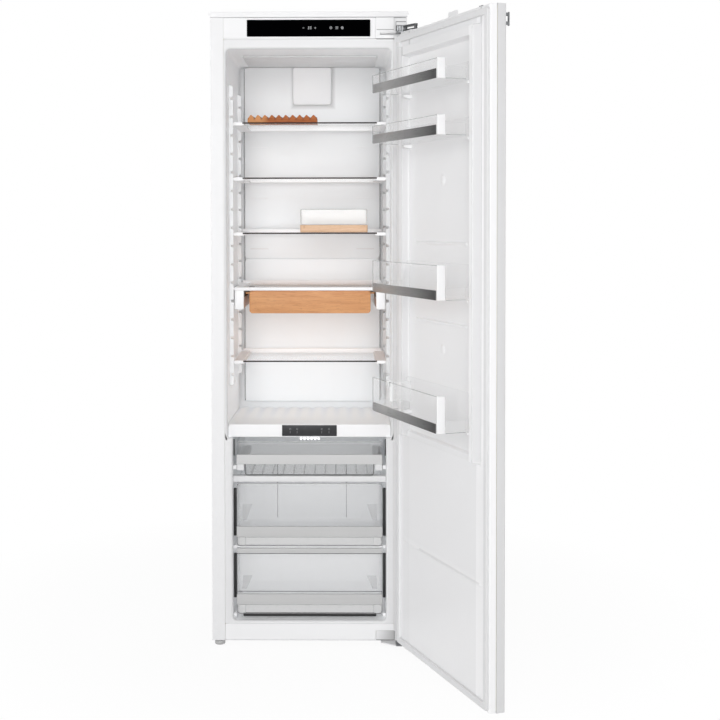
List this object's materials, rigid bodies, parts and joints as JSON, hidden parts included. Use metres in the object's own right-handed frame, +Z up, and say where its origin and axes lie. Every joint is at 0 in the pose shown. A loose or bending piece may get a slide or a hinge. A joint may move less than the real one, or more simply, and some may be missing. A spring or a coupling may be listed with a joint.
{
  "type": "built-in refrigerator",
  "caption": "Tall built-in larder refrigerator with hinged door, glass shelves, wooden drawer, clear crisper drawers, door bins and rear compressor bay.",
  "frame": {"origin": "on the floor, at the middle of the underside of the compressor carrier's rail, midway across the cabinet", "axes": "+Z up, +Y towards the back of the cabinet, so the cabinet's front faces -Y, +X to the right seen from the front"},
  "size_m": [0.7559, 1.0406, 1.772],
  "materials": {
    "white_steel": "satin",
    "white_plastic": "satin",
    "foam": "matte",
    "zinc_steel": "satin",
    "black_glass": "gloss",
    "clear_glass": "gloss",
    "clear_plastic": "gloss",
    "brushed_steel": "satin",
    "beech_wood": "satin",
    "gasket_rubber": "matte",
    "black_steel": "satin",
    "dark_plastic": "satin",
    "lens": "satin",
    "foot_plastic": "satin",
    "evaporator_metal": "satin"
  },
  "bodies": {
    "cabinet": {"outer_shell": "white_steel", "back_panel": "zinc_steel", "inner_liner": "white_plastic", "insulation_foam": "foam", "top_trim": "white_plastic", "control_fascia": "white_plastic", "control_glass": "black_glass", "base_trim": "white_plastic", "compressor_carrier": "zinc_steel", "compressor": "black_steel", "power_inlet": "dark_plastic", "condenser_coil": "black_steel", "duct_panel": "white_plastic", "evaporator": "evaporator_metal", "fan_motor": "dark_plastic", "fan_cover": "white_plastic", "ceiling_light": "lens", "crisper_cover": "white_plastic", "drawer_display": "dark_plastic", "drawer_light": "lens", "drawer_crossbar": "white_plastic", "top_hinge_plate": "zinc_steel", "bottom_hinge_plate": "zinc_steel", "top_hinge_cover": "white_plastic"},
    "fan": {"fan_rotor": "dark_plastic"},
    "left_foot": {"foot_left": "foot_plastic"},
    "right_foot": {"foot_right": "foot_plastic"},
    "shelf_1": {"shelf_1_frame": "white_plastic", "shelf_1_glass": "clear_glass"},
    "shelf_2": {"shelf_2_frame": "white_plastic", "shelf_2_glass": "clear_glass"},
    "shelf_3": {"shelf_3_frame": "white_plastic", "shelf_3_glass": "clear_glass"},
    "shelf_4": {"shelf_4_frame": "white_plastic", "shelf_4_glass": "clear_glass"},
    "shelf_5": {"shelf_5_frame": "white_plastic", "shelf_5_glass": "clear_glass"},
    "wood_drawer": {"wooden_drawer": "beech_wood"},
    "egg_rack": {"egg_tray": "beech_wood"},
    "butter_dish": {"butter_base": "beech_wood"},
    "butter_cover": {"butter_lid": "clear_plastic"},
    "shallow_drawer": {"upper_drawer": "clear_plastic"},
    "deep_drawer": {"middle_drawer": "clear_plastic"},
    "bottom_drawer": {"lower_drawer": "clear_plastic"},
    "door": {"door_panel": "white_steel", "door_liner": "white_plastic", "door_foam": "foam", "door_gasket": "gasket_rubber", "door_fixing_tab": "white_plastic"},
    "top_link": {"top_hinge_link": "zinc_steel"},
    "bottom_link": {"bottom_hinge_link": "zinc_steel"},
    "bin_1": {"door_bin_1": "clear_plastic", "door_bin_1_strip": "brushed_steel"},
    "bin_2": {"door_bin_2": "clear_plastic", "door_bin_2_strip": "brushed_steel"},
    "bin_3": {"door_bin_3": "clear_plastic", "door_bin_3_strip": "brushed_steel"},
    "bin_4": {"door_bin_4": "clear_plastic", "door_bin_4_strip": "brushed_steel"},
    "separator": {"bottle_separator": "white_plastic"}
  },
  "joints": [
    {"name": "door_swing", "type": "hinge", "parent": "cabinet", "child": "door", "pos_m": [0.2689, -0.4588, 0.9], "axis": [0, 0, 1], "range_deg": [-110.72, 5]},
    {"name": "top_link_turn", "type": "hinge", "parent": "cabinet", "child": "top_link", "pos_m": [0.27021, -0.45091, 1.714], "axis": [0, 0, 1], "range_deg": [-90, 6]},
    {"name": "bottom_link_turn", "type": "hinge", "parent": "cabinet", "child": "bottom_link", "pos_m": [0.27021, -0.45091, 0.009], "axis": [0, 0, 1], "range_deg": [-90, 6]},
    {"name": "fan_spin", "type": "hinge", "parent": "cabinet", "child": "fan", "pos_m": [0, -0.005, 1.609], "axis": [0, 1, 0], "continuous": true},
    {"name": "left_foot_turn", "type": "hinge", "parent": "cabinet", "child": "left_foot", "pos_m": [-0.253, -0.413, 0.02], "axis": [0, 0, 1], "continuous": true},
    {"name": "right_foot_turn", "type": "hinge", "parent": "cabinet", "child": "right_foot", "pos_m": [0.253, -0.413, 0.02], "axis": [0, 0, 1], "continuous": true},
    {"name": "shelf_1_slide", "type": "slide", "parent": "cabinet", "child": "shelf_1", "axis": [0, -1, 0], "range_m": [0, 0.2]},
    {"name": "shelf_2_slide", "type": "slide", "parent": "cabinet", "child": "shelf_2", "axis": [0, -1, 0], "range_m": [0, 0.2]},
    {"name": "shelf_3_slide", "type": "slide", "parent": "cabinet", "child": "shelf_3", "axis": [0, -1, 0], "range_m": [0, 0.2]},
    {"name": "shelf_4_slide", "type": "slide", "parent": "cabinet", "child": "shelf_4", "axis": [0, -1, 0], "range_m": [0, 0.2]},
    {"name": "shelf_5_slide", "type": "slide", "parent": "cabinet", "child": "shelf_5", "axis": [0, -1, 0], "range_m": [0, 0.2]},
    {"name": "wood_drawer_slide", "type": "slide", "parent": "shelf_4", "child": "wood_drawer", "axis": [0, -1, 0], "range_m": [0, 0.2]},
    {"name": "egg_rack_lift", "type": "slide", "parent": "shelf_1", "child": "egg_rack", "axis": [0, 0, 1], "range_m": [0, 0.03]},
    {"name": "butter_dish_lift", "type": "slide", "parent": "shelf_3", "child": "butter_dish", "axis": [0, 0, 1], "range_m": [0, 0.03]},
    {"name": "butter_cover_lift", "type": "slide", "parent": "butter_dish", "child": "butter_cover", "axis": [0, 0, 1], "range_m": [0, 0.045]},
    {"name": "shallow_drawer_slide", "type": "slide", "parent": "cabinet", "child": "shallow_drawer", "axis": [0, -1, 0], "range_m": [0, 0.27]},
    {"name": "deep_drawer_slide", "type": "slide", "parent": "cabinet", "child": "deep_drawer", "axis": [0, -1, 0], "range_m": [0, 0.27]},
    {"name": "bottom_drawer_slide", "type": "slide", "parent": "cabinet", "child": "bottom_drawer", "axis": [0, -1, 0], "range_m": [0, 0.18]},
    {"name": "bin_1_lift", "type": "slide", "parent": "door", "child": "bin_1", "axis": [0, 0, -1], "range_m": [-0.025, 0]},
    {"name": "bin_2_lift", "type": "slide", "parent": "door", "child": "bin_2", "axis": [0, 0, -1], "range_m": [-0.025, 0]},
    {"name": "bin_3_lift", "type": "slide", "parent": "door", "child": "bin_3", "axis": [0, 0, -1], "range_m": [-0.025, 0]},
    {"name": "bin_4_lift", "type": "slide", "parent": "door", "child": "bin_4", "axis": [0, 0, -1], "range_m": [-0.025, 0]},
    {"name": "separator_slide", "type": "slide", "parent": "bin_4", "child": "separator", "axis": [-0.3538, 0.9353, 0], "range_m": [-0.27, 0.09]}
  ],
  "couplings": [
    {"joint": "top_link_turn", "follows": "door_swing", "ratio": 0.7973},
    {"joint": "bottom_link_turn", "follows": "door_swing", "ratio": 0.7973}
  ]
}
